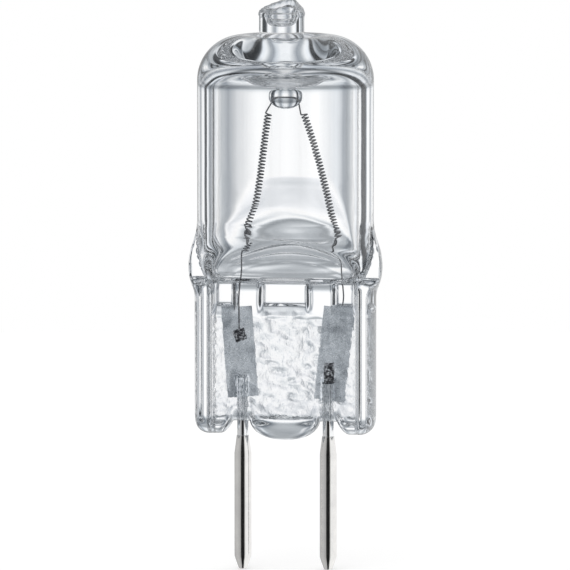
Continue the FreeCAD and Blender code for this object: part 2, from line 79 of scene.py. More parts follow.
def turned_piece(name, levels, x, rounding):
    """A round closed piece at x, drawn up from a disc through each level of radius and height."""
    bpy.ops.object.select_all(action="DESELECT")
    radius, height = levels[0]
    bpy.ops.mesh.primitive_circle_add(
        vertices=round_points, radius=radius, fill_type="NGON", location=(x, 0, height)
    )
    piece = bpy.context.object
    piece.name = name
    bpy.ops.object.mode_set(mode="EDIT")
    for next_radius, next_height in levels[1:]:
        bpy.ops.mesh.extrude_region_move(
            TRANSFORM_OT_translate={"value": (0, 0, next_height - height)}
        )
        grow = next_radius / radius
        bpy.ops.transform.resize(value=(grow, grow, 1), center_override=(x, 0, next_height))
        radius, height = next_radius, next_height
    bpy.ops.mesh.select_all(action="SELECT")
    bpy.ops.mesh.normals_make_consistent(inside=False)
    bpy.ops.object.mode_set(mode="OBJECT")
    bpy.ops.object.transform_apply(location=True, rotation=True, scale=True)
    edge = piece.modifiers.new("rounded edges", "BEVEL")
    edge.width = rounding
    edge.segments = 3
    edge.limit_method = "ANGLE"
    edge.angle_limit = math.radians(25)
    bpy.ops.object.modifier_apply(modifier=edge.name)
    bpy.ops.object.shade_smooth_by_angle(angle=math.radians(35))
    return piece


def new_finish(name):
    """An empty material, its node tree and its shader."""
    finish = bpy.data.materials.new(name)
    finish.use_nodes = True
    shader = finish.node_tree.nodes["Principled BSDF"]
    return finish, finish.node_tree, shader


def join(tree, value, socket):
    """Links another node's output into an input, or sets the input to a plain value."""
    if isinstance(value, bpy.types.NodeSocket):
        tree.links.new(value, socket)
    else:
        socket.default_value = value


def feed(tree, made, **values):
    """Fills a node's inputs by name, with _ for a space."""
    for key, value in values.items():
        join(tree, value, made.inputs[key.replace("_", " ")])


def node(tree, kind, **values):
    """A new node with its settings, and its inputs where a name is no setting."""
    made = tree.nodes.new(kind)
    for key, value in values.items():
        if hasattr(made, key):
            setattr(made, key, value)
        else:
            feed(tree, made, **{key: value})
    return made


def ramp(tree, source, stops):
    """The colour from a ramp over source, with stops as (place, grey) or (place, colour)."""
    made = tree.nodes.new("ShaderNodeValToRGB")
    elements = made.color_ramp.elements
    while len(elements) < len(stops):
        elements.new(0.5)
    for element, (place, value) in zip(elements, stops):
        element.position = place
        colour = value if isinstance(value, tuple) else (value, value, value)
        element.color = (*colour, 1.0)
    tree.links.new(source, made.inputs["Fac"])
    return made.outputs["Color"]


def drawn_metal(name, stretch, marks, cloud_scale, dark, light, smoothest, roughest):
    """A bright metal with fine marks drawn out along Z and a slow change between two tints."""
    metal, tree, shader = new_finish(name)
    place = node(tree, "ShaderNodeTexCoord").outputs["Object"]
    along = node(tree, "ShaderNodeMapping", Vector=place, Scale=(1.0, 1.0, stretch))
    drawn = node(tree, "ShaderNodeTexNoise", Vector=along.outputs["Vector"], **marks).outputs["Fac"]
    cloud = node(tree, "ShaderNodeTexNoise", Vector=place, Scale=cloud_scale, Detail=3.0)
    tint = ramp(tree, cloud.outputs["Fac"], [(0.3, dark), (0.7, light)])
    polish = ramp(tree, drawn, [(0.3, smoothest), (0.75, roughest)])
    grooves = node(tree, "ShaderNodeBump", Height=drawn, Strength=0.25, Distance=0.000004)
    feed(
        tree, shader, Metallic=1.0, Base_Color=tint, Roughness=polish,
        Normal=grooves.outputs["Normal"],
    )
    return metal


plate = drawn_metal(
    "bright nickel plate", 0.12, {"Scale": 9000.0, "Detail": 4.0, "Roughness": 0.6}, 900.0,
    (0.80, 0.79, 0.78), (0.90, 0.89, 0.87), 0.10, 0.19,
)
for side, name in ((-1, "left_contact_pin"), (1, "right_contact_pin")):
    pin = turned_piece(name + "_turned", pin_levels, side * pin_spacing / 2, pin_edge)
    pin.data.materials.append(plate)
    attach(pin, "root")
    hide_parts(name)

# Lead rods: molybdenum wire with a satin drawn surface, cut square at the foils.
# Each stands in the socket of its pin and carries the current up through the foot of the seal.
rod_radius = 0.000415
rod_edge = 0.00004
rod_low = 0.0091
left_rod_top = 0.014368
right_rod_top = 0.013892

rod_metal = drawn_metal(
    "satin molybdenum", 0.06, {"Scale": 14000.0, "Detail": 5.0, "Roughness": 0.65}, 1600.0,
    (0.88, 0.89, 0.90), (0.97, 0.98, 0.99), 0.10, 0.22,
)
for side, name, top in ((-1, "left_lead_rod", left_rod_top), (1, "right_lead_rod", right_rod_top)):
    levels = [(rod_radius, rod_low), (rod_radius, (rod_low + top) / 2), (rod_radius, top)]
    rod = turned_piece(name + "_drawn", levels, side * pin_spacing / 2, rod_edge)
    rod.data.materials.append(rod_metal)
    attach(rod, "root")
    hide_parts(name)

# Sealing foils: two strips of thin rolled molybdenum, matt from etching, leaning outwards.
# Each is pressed round the end of its rod, the left one from the front, the right one from behind.
foil_width = 0.0023
foil_thickness = 0.00004
foil_top = 0.01955
foil_from_middle = 0.0002
# each foil's side, place of its foot, length, lean outwards and the top of its rod
foils = {
    "left_foil": (-1, -0.00309, 0.0067, math.radians(4.2), left_rod_top),
    "right_foil": (1, 0.003275, 0.00695, math.radians(6.3), right_rod_top),
}
foil_steps = (46, 120)
# the fold over the rod's end: where it starts below the end, and where it has run out above it
fold_start = 0.00004
fold_out = 0.00016
# the lip that stands up beside the rod, and how far it reaches sideways and upwards
lip_height = 0.00003
lip_spread = 0.0005
lip_rise = 0.0006
wave_height = 0.00001
wave_scale = 900.0
# how far beside the rod's axis, and up to what height, the foil is burnished
burnish_side = (0.00058, 0.00048)
burnish_top = (0.01460, 0.01445)


def maths(tree, operation, *values):
    """The result of a sum over numbers and other nodes' outputs."""
    made = node(tree, "ShaderNodeMath", operation=operation)
    for value, socket in zip(values, made.inputs):
        join(tree, value, socket)
    return made.outputs[0]


def span(tree, value, low, high, **settings):
    """How far value has come from low to high, as 0 to 1."""
    made = node(
        tree, "ShaderNodeMapRange", **settings, Value=value, From_Min=low, From_Max=high
    )
    return made.outputs["Result"]


foil_metal, tree, shader = new_finish("etched molybdenum foil")
place = node(tree, "ShaderNodeTexCoord").outputs["Object"]
cloud = node(
    tree, "ShaderNodeTexNoise", Vector=place,
    Scale=420.0, Detail=5.0, Roughness=0.62, Distortion=0.6,
)
tint = ramp(tree, cloud.outputs["Fac"], [
    (0.36, (0.50, 0.525, 0.555)),
    (0.46, (0.76, 0.79, 0.82)),
    (0.54, (0.84, 0.87, 0.90)),
    (0.66, (0.96, 0.98, 1.0)),
])
grain = node(tree, "ShaderNodeTexNoise", Vector=place, Scale=16000.0, Detail=3.0).outputs["Fac"]
polish = ramp(tree, grain, [(0.3, 0.22), (0.7, 0.34)])
# burnished where it is pressed over the rod
spot = node(tree, "ShaderNodeSeparateXYZ", Vector=place).outputs
from_rod = maths(tree, "SUBTRACT", maths(tree, "ABSOLUTE", spot["X"]), pin_spacing / 2)
beside = span(tree, maths(tree, "ABSOLUTE", from_rod), *burnish_side)
burnished = maths(tree, "MULTIPLY", beside, span(tree, spot["Z"], *burnish_top))
smooth = node(tree, "ShaderNodeMix", data_type="FLOAT", Factor=burnished, A=polish, B=0.07)
across = node(
    tree, "ShaderNodeMapping", Vector=place,
    Scale=(1.0, 1.0, 4.0), Rotation=(0.0, math.radians(20), 0.0),
)
ripple = node(
    tree, "ShaderNodeTexNoise", Vector=across.outputs["Vector"],
    Scale=700.0, Detail=3.0, Roughness=0.5,
)
dents = node(
    tree, "ShaderNodeBump", Height=ripple.outputs["Fac"], Strength=0.5, Distance=0.00003
)
pits = node(
    tree, "ShaderNodeBump", Height=grain, Normal=dents.outputs["Normal"],
    Strength=0.35, Distance=0.000006,
)
feed(
    tree, shader, Metallic=1.0, Base_Color=tint, Roughness=smooth.outputs["Result"],
    Normal=pits.outputs["Normal"],
)


def smooth_step(low, high, value):
    """0 below low, 1 above high and a smooth rise between them, for arrays too."""
    t = np.clip((value - low) / (high - low), 0.0, 1.0)
    return t * t * (3 - 2 * t)


def pressed_foil(name, side, foot_x, length, lean, rod_top):
    """A leaning strip pressed round its rod's end: in front on the left, behind on the right."""
    bpy.ops.object.select_all(action="DESELECT")
    bpy.ops.mesh.primitive_grid_add(
        x_subdivisions=foil_steps[0], y_subdivisions=foil_steps[1], size=1.0
    )
    strip = bpy.context.object
    strip.name = name
    rod_x = side * pin_spacing / 2
    foot_z = foil_top - length * math.cos(lean)
    middle = foil_from_middle + foil_thickness / 2
    bend = rod_radius + foil_thickness / 2
    turn = side * lean
    for vertex in strip.data.vertices:
        u = vertex.co.x * foil_width
        w = (vertex.co.y + 0.5) * length
        x = foot_x + u * math.cos(turn) + w * math.sin(turn)
        z = foot_z + w * math.cos(turn) - u * math.sin(turn)
        off = abs(x - rod_x)
        round_rod = math.sqrt(max(bend * bend - off * off, 0.0))
        over = smooth_step(rod_top + fold_out, rod_top - fold_start, z)
        lift = max(middle, round_rod * over + middle * (1 - over))
        lip = smooth_step(lip_spread, 0.0, off - bend)
        lift += lip_height * lip * (1 - smooth_step(rod_top, rod_top + lip_rise, z))
        wave = noise.noise(Vector((x, 0.0, z)) * wave_scale) * wave_height
        vertex.co = (x, side * (lift + wave), z)
    bpy.ops.object.mode_set(mode="EDIT")
    bpy.ops.mesh.select_all(action="SELECT")
    bpy.ops.mesh.normals_make_consistent(inside=False)
    bpy.ops.object.mode_set(mode="OBJECT")
    sheet = strip.modifiers.new("sheet thickness", "SOLIDIFY")
    sheet.thickness = foil_thickness
    sheet.offset = 0.0
    bpy.ops.object.modifier_apply(modifier=sheet.name)
    bpy.ops.object.shade_smooth_by_angle(angle=math.radians(50))
    strip.data.materials.append(foil_metal)
    return strip


for name, sizes in foils.items():
    foil = pressed_foil(name + "_pressed", *sizes)
    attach(foil, "root")
    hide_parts(name)

# Weld tabs: small flags of folded strip that the ends of the filament wire are welded under.
# The weld has left them dark, rough and speckled with bright points.
tab_thickness = 0.00018
left_tab_x = -0.00333
left_tab_z = 0.01745
# each tab's width, height, turn and middle
flags = [
    ("left_weld_tab", 0.00089, 0.00089, math.radians(-20), (
        left_tab_x, -foil_from_middle - foil_thickness - tab_thickness / 2, left_tab_z)),
    ("right_weld_tab", 0.00075, 0.00148, 0.0, (
        0.003275, foil_from_middle - tab_thickness / 2, 0.014682)),
]
ragged_share = 0.05
ragged_scale = 4200.0

tab_metal, tree, shader = new_finish("speckled weld")
place = node(tree, "ShaderNodeTexCoord").outputs["Object"]
crust = node(
    tree, "ShaderNodeTexNoise", Vector=place, Scale=6400.0, Detail=4.0, Roughness=0.7
).outputs["Fac"]
tint = ramp(tree, crust, [
    (0.30, (0.04, 0.04, 0.045)),
    (0.49, (0.10, 0.10, 0.11)),
    (0.55, (0.45, 0.46, 0.48)),
    (0.62, (0.95, 0.96, 0.98)),
])
polish = ramp(tree, crust, [(0.4, 0.6), (0.65, 0.3)])
pits = node(tree, "ShaderNodeBump", Height=crust, Strength=0.8, Distance=0.00005)
feed(
    tree, shader, Metallic=0.9, Base_Color=tint, Roughness=polish,
    Normal=pits.outputs["Normal"],
)


def welded_flag(name, width, height, turn, middle):
    """A small rough plate with worn corners, turned about its own middle."""
    bpy.ops.object.select_all(action="DESELECT")
    bpy.ops.mesh.primitive_cube_add(size=1.0)
    flag = bpy.context.object
    flag.name = name
    flag.scale = (width, tab_thickness, height)
    bpy.ops.object.transform_apply(location=False, rotation=False, scale=True)
    bpy.ops.object.mode_set(mode="EDIT")
    bpy.ops.mesh.bevel(offset=tab_thickness * 0.3, segments=2, affect="EDGES")
    bpy.ops.mesh.select_all(action="SELECT")
    bpy.ops.mesh.subdivide(number_cuts=9)
    bpy.ops.object.mode_set(mode="OBJECT")
    for vertex in flag.data.vertices:
        x, y, z = vertex.co
        ragged = noise.noise(Vector((x, 0.0, z)) * ragged_scale)
        uneven = noise.noise(Vector((z, 3.0, x)) * ragged_scale)
        vertex.co.x = x * (1 + ragged_share * ragged)
        vertex.co.z = z * (1 + ragged_share * uneven)
        if y < 0:
            vertex.co.y = y + tab_thickness * 0.14 * (ragged + 0.4)
    flag.rotation_euler = (0.0, turn, 0.0)
    flag.location = middle
    bpy.ops.object.transform_apply(location=True, rotation=True, scale=True)
    bpy.ops.object.shade_smooth_by_angle(angle=math.radians(40))
    flag.data.materials.append(tab_metal)
    return flag


for name, *sizes in flags:
    flag = welded_flag(name + "_rough", *sizes)
    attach(flag, "root")
    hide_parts(name)

# Filament: one tungsten wire wound in two slack legs, with a plain bridge through the glass bead.
# Its straight tails run down through the floor of the bulb and are welded to the foils.
wire_radius = 0.000055
coil_radius = 0.00022
coil_turns = 39
turn_points = 20
coil_slack = 0.05
coil_shake = 0.00002
cavity_floor = 0.0213
bead_z = 0.03506
coil_top = bead_z - 0.0012
bridge_half = 0.00095
bridge_straight_half = 0.0005
bridge_drop = 0.0003
bridge_rounding = 0.0002
tail_rounding = 0.0004
corner_steps = 5


def leg_points(top_x, foot_x, foot_z, top_slope, foot_slope):
    """The turns of one leg from foot to top, round a gently bent middle line."""
    reach = (coil_top - foot_z) / 3
    ends = [
        Vector((foot_x, 0, foot_z)),
        Vector((foot_x - foot_slope * reach, 0, foot_z + reach)),
        Vector((top_x + top_slope * reach, 0, coil_top - reach)),
        Vector((top_x, 0, coil_top)),
    ]
    points = []
    count = coil_turns * turn_points
    for i in range(count + 1):
        t = i / count
        s = 1 - t
        middle = ends[0] * s**3 + ends[1] * (3 * s * s * t)
        middle = middle + ends[2] * (3 * s * t * t) + ends[3] * t**3
        step = (ends[1] - ends[0]) * (s * s) + (ends[2] - ends[1]) * (2 * s * t)
        step = (step + (ends[3] - ends[2]) * (t * t)).normalized()
        outwards = step.cross(Vector((0, 1, 0))).normalized()
        angle = 2 * math.pi * i / turn_points
        slack = 1 + coil_slack * noise.noise(Vector((t * 9.0, top_x * 900.0, 0.0)))
        spoke = outwards * math.cos(angle) + Vector((0, 1, 0)) * math.sin(angle)
        shake = coil_shake * noise.noise(Vector((t * 14.0, 5.0, foot_x * 900.0)))
        points.append(middle + spoke * (coil_radius * slack) + Vector((shake, 0, shake)))
    return points


def rounded_path(points, rounding):
    """The same straight runs with each corner eased over a short way."""
    eased = [points[0]]
    for before, corner, after in zip(points, points[1:], points[2:]):
        into = corner - before
        out = after - corner
        start = corner - into.normalized() * min(rounding, into.length * 0.45)
        end = corner + out.normalized() * min(rounding, out.length * 0.45)
        for k in range(corner_steps + 1):
            t = k / corner_steps
            eased.append(start * (1 - t) ** 2 + corner * (2 * t * (1 - t)) + end * t * t)
    eased.append(points[-1])
    return eased


# each tail from its weld up through the floor of the bulb to the foot of its coil
tail_side = foil_from_middle + foil_thickness + wire_radius
left_tail = [
    Vector((left_tab_x - 0.00005, -tail_side, left_tab_z - 0.00017)),
    Vector((left_tab_x - 0.00005, -tail_side, left_tab_z + 0.00062)),
    Vector((-0.0034, -tail_side, 0.0202)),
    Vector((-0.00325, 0.0001, cavity_floor + 0.0012)),
    Vector((-0.00325, 0.0, cavity_floor + 0.0027)),
]
right_tail = [
    Vector((0.003783, tail_side, 0.017242)),
    Vector((0.00433, tail_side, 0.0202)),
    Vector((0.00415, 0.0001, cavity_floor + 0.0012)),
    Vector((0.00415, 0.0, cavity_floor + 0.0029)),
]
left_leg = leg_points(
    top_x=-0.00125, foot_x=-0.00298, foot_z=cavity_floor + 0.00305,
    top_slope=-0.18, foot_slope=-0.36,
)
right_leg = leg_points(
    top_x=0.00135, foot_x=0.0038, foot_z=cavity_floor + 0.0034,
    top_slope=0.36, foot_slope=0.23,
)
bridge = [
    left_leg[-1],
    Vector((-bridge_half, 0.0, bead_z - bridge_drop)),
    Vector((-bridge_straight_half, 0.0, bead_z)),
    Vector((bridge_straight_half, 0.0, bead_z)),
    Vector((bridge_half, 0.0, bead_z - bridge_drop)),
    right_leg[-1],
]
wire_path = rounded_path(left_tail + left_leg[:1], tail_rounding)[:-1] + left_leg
wire_path += rounded_path(bridge, bridge_rounding)[1:-1] + right_leg[::-1]
wire_path += rounded_path(right_leg[:1] + right_tail[::-1], tail_rounding)[1:]
bpy.ops.object.select_all(action="DESELECT")
bpy.ops.curve.primitive_nurbs_path_add()
strand = bpy.context.object
strand.name = "wound_filament"
strand.data.splines.clear()
run = strand.data.splines.new("POLY")
run.points.add(len(wire_path) - 1)
for point, spot in zip(run.points, wire_path):
    point.co = (*spot, 1.0)
strand.data.bevel_depth = wire_radius
strand.data.bevel_resolution = 2
strand.data.use_fill_caps = True
bpy.ops.object.convert(target="MESH")
strand = bpy.context.object
bpy.ops.object.shade_smooth()

wire_metal, tree, shader = new_finish("drawn tungsten")
place = node(tree, "ShaderNodeTexCoord").outputs["Object"]
cloud = node(
    tree, "ShaderNodeTexNoise", Vector=place, Scale=2600.0, Detail=4.0, Roughness=0.6
).outputs["Fac"]
tint = ramp(tree, cloud, [(0.3, (0.20, 0.20, 0.21)), (0.7, (0.36, 0.36, 0.37))])
polish = ramp(tree, cloud, [(0.3, 0.28), (0.7, 0.42)])
feed(tree, shader, Metallic=1.0, Base_Color=tint, Roughness=polish)
strand.data.materials.clear()
strand.data.materials.append(wire_metal)
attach(strand, "root")
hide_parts("filament")

# Glass envelope, outside: fused quartz, blown to a round bulb with a dimpled crown, then pressed
# flat below by jaws that leave thick rails, a thin dented web, windows and a scalloped end.
# On the crown stands the broken stub of the tube that the lamp was pumped and filled through.
seal_end = 0.0101
seal_half_width = 0.0067
seal_corner = 0.00115
seal_top = 0.0212
rail_half = 0.0023
rail_inner = 0.00545
web_half = 0.00135
web_crease = 0.00009
foot_half = 0.00175
notch_top = seal_end + 0.00095
throat_top = 0.0261
barrel_radius = 0.0065
barrel_top = 0.0363
crown_radius = 0.0033
crown_top = 0.0396
dip_z = 0.0381
dip_radius = 0.00115
columns = 112
past_outside = 0.02


def curve_points(corners, count):
    """Points along a cubic curve, as an array of pairs."""
    t = np.linspace(0.0, 1.0, count)[:, None]
    a, b, c, d = (np.array(corner, dtype=float) for corner in corners)
    return a * (1 - t) ** 3 + b * 3 * (1 - t) ** 2 * t + c * 3 * (1 - t) * t * t + d * t**3


def soft_min(a, b, ease):
    """The smaller of two values, rounded over where they meet."""
    h = np.clip(0.5 + 0.5 * (b - a) / ease, 0.0, 1.0)
    return b * (1 - h) + a * h - ease * h * (1 - h)


corner_turn = np.linspace(0.0, math.pi / 2, 12)
end_line = np.vstack([
    curve_points([
        (0.0, seal_end - 0.00045), (0.0015, seal_end - 0.00045),
        (0.00247, seal_end + 0.0001), (0.00255, notch_top),
    ], 30),
    [(0.0038, notch_top)],
    curve_points([
        (0.0039, notch_top - 0.00002), (0.00405, notch_top - 0.00045),
        (0.00445, seal_end), (0.0048, seal_end),
    ], 20),
    np.column_stack([
        seal_half_width - seal_corner + seal_corner * np.sin(corner_turn),
        seal_end + seal_corner - seal_corner * np.cos(corner_turn),
    ]),
])
end_x = np.linspace(0.0, seal_half_width, 800)
end_z = np.interp(end_x, end_line[:, 0], end_line[:, 1])
blur = np.exp(-np.linspace(-2, 2, 17) ** 2)
blur_reach = 8
padded_end = np.concatenate([
    end_z[blur_reach:0:-1], end_z, end_z[-1:].repeat(blur_reach),
])
end_z = np.convolve(padded_end, blur / blur.sum(), "valid")

ear_x = 0.00715
ear_z = seal_top + 0.0013
width_line = np.vstack([
    [(seal_half_width, 0.0), (seal_half_width, seal_top - 0.0009)],
    curve_points([
        (seal_half_width, seal_top - 0.0009), (seal_half_width, seal_top - 0.0002),
        (ear_x, ear_z - 0.00117), (ear_x, ear_z),
    ], 12)[1:],
    curve_points([
        (ear_x, ear_z), (ear_x, ear_z + 0.0016),
        (barrel_radius, throat_top - 0.0016), (barrel_radius, throat_top),
    ], 16)[1:],
    [(barrel_radius, barrel_top)],
])
throat_line = curve_points([
    (web_half, seal_top - 0.0005), (web_half, seal_top + 0.0015),
    (0.0052, throat_top - 0.0018), (0.0070, throat_top + 0.0003),
], 40)
web_line = np.vstack([
    [(foot_half, 0.0), (foot_half, seal_end + 0.0007)],
    curve_points([
        (foot_half, seal_end + 0.0007), (foot_half, seal_end + 0.00095),
        (web_half + web_crease, seal_end + 0.0010), (web_half + web_crease, seal_end + 0.0013),
    ], 16)[1:],
    [(web_half, seal_end + 0.0025)],
    throat_line,
    [(past_outside, throat_top + 0.0015)],
])
rail_line = np.vstack([
    [(rail_half, 0.0), (rail_half, seal_top + 0.0004)],
    curve_points([
        (rail_half, seal_top + 0.0004), (rail_half, seal_top + 0.0022),
        (0.0055, throat_top - 0.0014), (0.0070, throat_top + 0.0003),
    ], 24)[1:],
    [(past_outside, throat_top + 0.0015)],
])
# the left and right edge of each window, the breadth of its walls and half the glass left in it,
# and how its floor begins at the sill and ends under the throat
windows = [(-0.0054, -0.00355), (-0.00192, 0.00192), (0.00355, 0.0054)]
window_wall = 0.00030
window_half = 0.00081
sill_foot = 0.0190
sill_height = 0.00080
lintel = (0.0213, 0.0216)


def half_thickness(x, z):
    """How far the glass reaches to the front or the back, before the round outside limits it."""
    web = np.interp(z, web_line[:, 1], web_line[:, 0])
    rail = np.interp(z, rail_line[:, 1], rail_line[:, 0])
    recess = np.zeros_like(x)
    sill = np.clip((z - sill_foot) / sill_height, 0.0, 1.0) * (1 - smooth_step(*lintel, z))
    for low, high in windows:
        lift = np.clip(np.minimum(x - low, high - x) / window_wall, 0.0, 1.0)
        recess = np.maximum(recess, lift)
    web = web - (web - window_half) * recess * sill
    share = smooth_step(rail_inner - 0.00012, rail_inner + 0.00010, np.abs(x))
    low_share = smooth_step(rail_inner - 0.0001, rail_inner + 0.00055, np.abs(x))
    open_throat = smooth_step(seal_top - 0.0002, seal_top + 0.0012, z)
    share = share * (1 - open_throat) + low_share * open_throat
    return web * (1 - share) + rail * share


# the rise, height and spread of each fold that arches over the back of the throat
throat_folds = [
    (0.0247, 0.00006, 0.00013), (0.0240, 0.00005, 0.00012), (0.0231, 0.00004, 0.00012),
]
fold_arch = 72.0
wobble_height = 0.00017


def throat_fold(x, z):
    """The folds that the back of the throat was left with where it sank in between the jaws."""
    rise = z + fold_arch * x * x
    fold = 0.0
    for level, height, spread in throat_folds:
        fold += height * math.exp(-(((rise - level) / spread) ** 2))
    wobble = noise.noise(Vector((x * 330.0, 5.0, z * 1400.0)))
    low = float(smooth_step(0.0217, 0.0219, z) * (1 - smooth_step(0.0228, 0.0232, z)))
    inside = float(1 - smooth_step(0.0040, 0.0050, abs(x)))
    return (fold + wobble_height * wobble * low) * inside


# where the dented field begins and ends, and where its dents give way to ridges at the sides
dents_foot = (0.0111, 0.0115)
dents_head = (0.0186, 0.0191)
ridges_from = (0.0040, 0.0047)
# heights of the dents, of their pits, which open where the noise is over pit_level, and of the
# ridges; the front has only a share of the dents
rolling_height = 0.00012
pitted_height = 0.00014
pit_depth = 0.00055
pit_level = 0.24
ridge_height = 0.00004
speck_height = 0.00003
front_share = 0.12
# the marks run at 45 degrees, turned by nearly its sine, and each face has its own
slant = 0.7
face_shift = 0.004


def dent(x, z, face):
    """The dents that the rough jaws leave on the web: a worn, nearly smooth front, a rough back.

    Towards the rails both faces have fine slanting ridges.
    """
    field = (
        smooth_step(*dents_foot, z) * (1 - smooth_step(*dents_head, z))
        * (1 - smooth_step(rail_inner - 0.00035, rail_inner - 0.0001, abs(x)))
    )
    if field <= 0.0:
        return 0.0
    spot = Vector((x, face_shift * face, z))
    along = Vector((slant * (x - z), face_shift * face, slant * (x + z)))
    rolling = noise.noise(Vector((along.x * 500.0, along.y, along.z * 1000.0)))
    pitted = noise.noise(Vector((along.x * 1100.0, along.y, along.z * 2000.0)))
    coarse = rolling_height * rolling + pitted_height * pitted
    coarse -= pit_depth * max(pitted - pit_level, 0.0)
    ridged = ridge_height * noise.noise(Vector((along.x * 1300.0, along.y, along.z * 3600.0)))
    ridged += speck_height * noise.noise(spot * 3600.0)
    side = float(smooth_step(*ridges_from, abs(x)))
    depth = 1.0 if face > 0 else front_share
    return float(field) * (coarse * depth * (1 - side) + ridged * side)


# the edges of windows and notches, where columns crowd
creases = (0.00162, 0.00192, 0.0025, 0.00355, 0.00385)
crease_spread = 0.00012
rail_spread = 0.00022


def column_angles(crowded):
    """Where the columns of points stand round the outside, crowded at the seal's edges or even."""
    angle = np.linspace(-math.pi / 2, math.pi / 2, 4001)
    weight = np.ones_like(angle)
    if crowded:
        x = np.abs(np.sin(angle)) * seal_half_width
        weight += 2.6 * np.exp(-((x - rail_inner) / rail_spread) ** 2)
        for edge in creases:
            weight += 1.6 * np.exp(-((x - edge) / crease_spread) ** 2)
        weight *= 0.7 + 0.65 * (1 - smooth_step(1.1, 1.5, np.abs(angle)))
    total = np.concatenate([[0.0], np.cumsum((weight[1:] + weight[:-1]) / 2)])
    return np.interp(np.linspace(0, total[-1], columns + 1), total, angle)


# levels of the round tube in the throat, its radius at each, and half the thickness of an ear
tube_levels = [0.0212, 0.0226, 0.0236]
tube_radii = [0.0057, 0.00625, barrel_radius]
ear_half = 0.00095
ear_ease = 0.0003


def ear_section(x, z, circle):
    """The half thickness at the throat, where the round tube runs down between two thin ears."""
    tube_radius = float(np.interp(z, tube_levels, tube_radii))
    tube = math.sqrt(max(tube_radius * tube_radius - x * x, 0.0))
    ear = min(ear_half, circle)
    body = -float(soft_min(np.float64(-tube), np.float64(-ear), ear_ease))
    share = float(smooth_step(0.0212, 0.0217, z) * (1 - smooth_step(0.0252, throat_top, z)))
    return circle * (1 - share) + min(body, circle) * share


# rows of points: the foot's follow the scalloped end, the body's lie level, closer together at the
# sills and in the throat, and the crown's, the break's and the crater's run up to the stub's end
foot_top = 0.0140
foot_level = 0.013
# the lower edge curls over this height, and over more below the notches' top
rounding = 0.00078
curl_share = 0.3
curl_limit = 0.001
rows = []
for fold in np.linspace(0.0, math.pi / 2, 13):
    rows.append(("foot", 1 - math.cos(fold)))
for share in np.linspace(0.0, 1.0, 40)[1:]:
    rows.append(("foot", 1 + share))
body_rows = np.concatenate([
    np.arange(0.0141, 0.0189, 0.0001),
    np.arange(0.0189, 0.0217, 0.00009),
    np.arange(0.0217, 0.0251, 0.00007),
    np.arange(0.0251, throat_top, 0.00018),
    np.linspace(throat_top, barrel_top, 16),
])
rows += [("body", z) for z in body_rows]
crown = [(
    barrel_radius - crown_radius + crown_radius * math.cos(a),
    barrel_top + crown_radius * math.sin(a), 0.0,
) for a in np.linspace(0.0, math.pi / 2, 34)[1:]]
for r, z in curve_points([
    (barrel_radius - crown_radius, crown_top), (0.0022, crown_top),
    (0.00135, dip_z + 0.001), (dip_radius, dip_z + 0.0003),
], 20)[1:]:
    crown.append((r, z, 0.0))
tip_x = -0.00028
tip_radius = 0.00167
tip_rim = 0.0415
break_radius = 0.00168
break_low = 0.04132
crater_floor = 0.04025
stub = np.vstack([
    curve_points([
        (dip_radius, dip_z + 0.0003), (dip_radius, dip_z + 0.0002),
        (0.00150, dip_z + 0.0004), (0.00155, dip_z + 0.0007),
    ], 8)[1:],
    curve_points([
        (0.00155, dip_z + 0.0007), (0.00160, dip_z + 0.0010),
        (tip_radius, dip_z + 0.0011), (tip_radius, dip_z + 0.0013),
    ], 6)[1:],
    [(tip_radius, 0.0397), (tip_radius, 0.0403), (tip_radius, 0.0409)],
    curve_points([
        (tip_radius, 0.04100), (0.00174, 0.04108), (0.00174, 0.04122), (break_radius, break_low),
    ], 8),
])
for r, z in stub:
    crown.append((r, z, float(smooth_step(dip_z + 0.0003, dip_z + 0.0010, z))))
for r, z, off in crown:
    rows.append(("crown", r, z, off))
# the broken end: up and over the ragged edge, down the crater's wall and across its floor
for share in (0.25, 0.5, 0.75, 0.9, 1.0):
    rows.append(("break", break_radius - 0.00004 * share, share))
for r in (0.00155, 0.00145, 0.00132, 0.00118, 0.00106):
    rows.append(("break", r, 1.0))
for r, depth in (
    (0.00097, 0.10), (0.00091, 0.25), (0.00087, 0.45), (0.00082, 0.65), (0.00074, 0.82),
    (0.00062, 0.93), (0.00046, 0.98), (0.00030, 1.0), (0.00015, 1.0), (0.0, 1.0),
):
    rows.append(("crater", r, depth))

straight = column_angles(False)
crowded = column_angles(True)
# the height of the broken edge from left to right, of the chips in it, and its lean backwards
break_x = [-0.0017, 0.0004, 0.00075, 0.0017]
break_z = [-0.00004, 0.00056, 0.00054, -0.00011]
chip_heights = (0.00009, 0.00004)
break_lean = 0.14
break_drop = 0.00006


def break_height(x, y):
    """The slanted, chipped edge where the tube broke off."""
    edge = np.interp(x, break_x, break_z)
    chips = chip_heights[0] * noise.noise(Vector((x * 1900.0, y * 1900.0, 4.0)))
    chips += chip_heights[1] * noise.noise(Vector((x * 5200.0, y * 5200.0, 9.0)))
    return float(edge) + break_lean * y + chips - break_drop


